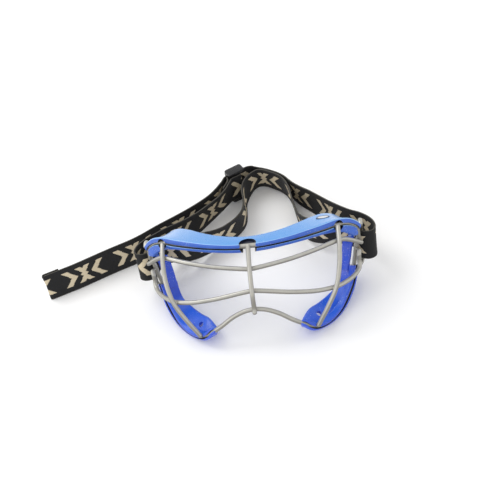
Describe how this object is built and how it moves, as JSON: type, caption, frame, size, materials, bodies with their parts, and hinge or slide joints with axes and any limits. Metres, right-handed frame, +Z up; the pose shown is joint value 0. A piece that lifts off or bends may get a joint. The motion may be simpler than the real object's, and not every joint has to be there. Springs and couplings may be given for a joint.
{
  "type": "lacrosse goggles",
  "caption": "Wire cage eye guard with a silicone brow pad and cheek pads, worn on a looped elastic strap with a slider.",
  "frame": {"origin": "centre of the bounding box, on the surface that the goggles and the strap rest on", "axes": "+Z up, -Y the way the goggles' front faces, +X to the right as seen from the front; left and right in node names are as seen from the front; the goggles lean back 38 degrees as they lie on a table"},
  "size_m": [0.2764, 0.184, 0.071],
  "materials": {
    "wire": "satin warm grey steel",
    "silicone": "moulded blue silicone with a soft gloss",
    "webbing": "black woven elastic with a cream woven motif",
    "slider": "glossy black moulded nylon",
    "badge": "pale blank moulded plate"
  },
  "bodies": {
    "goggles": {"perimeter_wire": "wire", "upper_cross_wire": "wire", "lower_cross_wire": "wire", "center_upright": "wire", "left_upright": "wire", "right_upright": "wire", "left_strap_bar": "wire", "right_strap_bar": "wire", "brow_pad": "silicone", "left_cheek_pad": "silicone", "right_cheek_pad": "silicone", "brow_badge": "badge"},
    "strap": {"strap_sewn_lap": "webbing", "strap_left_leg": "webbing", "strap_left_loop": "webbing", "strap_left_inner": "webbing", "strap_waist": "webbing", "strap_arch": "webbing", "strap_right_inner": "webbing", "strap_right_loop": "webbing", "strap_right_leg": "webbing", "strap_slider_stretch": "webbing", "strap_tail": "webbing", "strap_tail_fold": "webbing"},
    "slider": {"slider_frame": "slider"}
  },
  "joints": [
    {"name": "strap_swing", "type": "hinge", "parent": "goggles", "child": "strap", "pos_m": [0.04194, -0.02431, 0.03198], "axis": [1, 0, 0], "range_deg": [-12, 6]},
    {"name": "slider_travel", "type": "slide", "parent": "strap", "child": "slider", "axis": [0.866, 0.5, 0], "range_m": [-0.0012, 0.0012]}
  ]
}
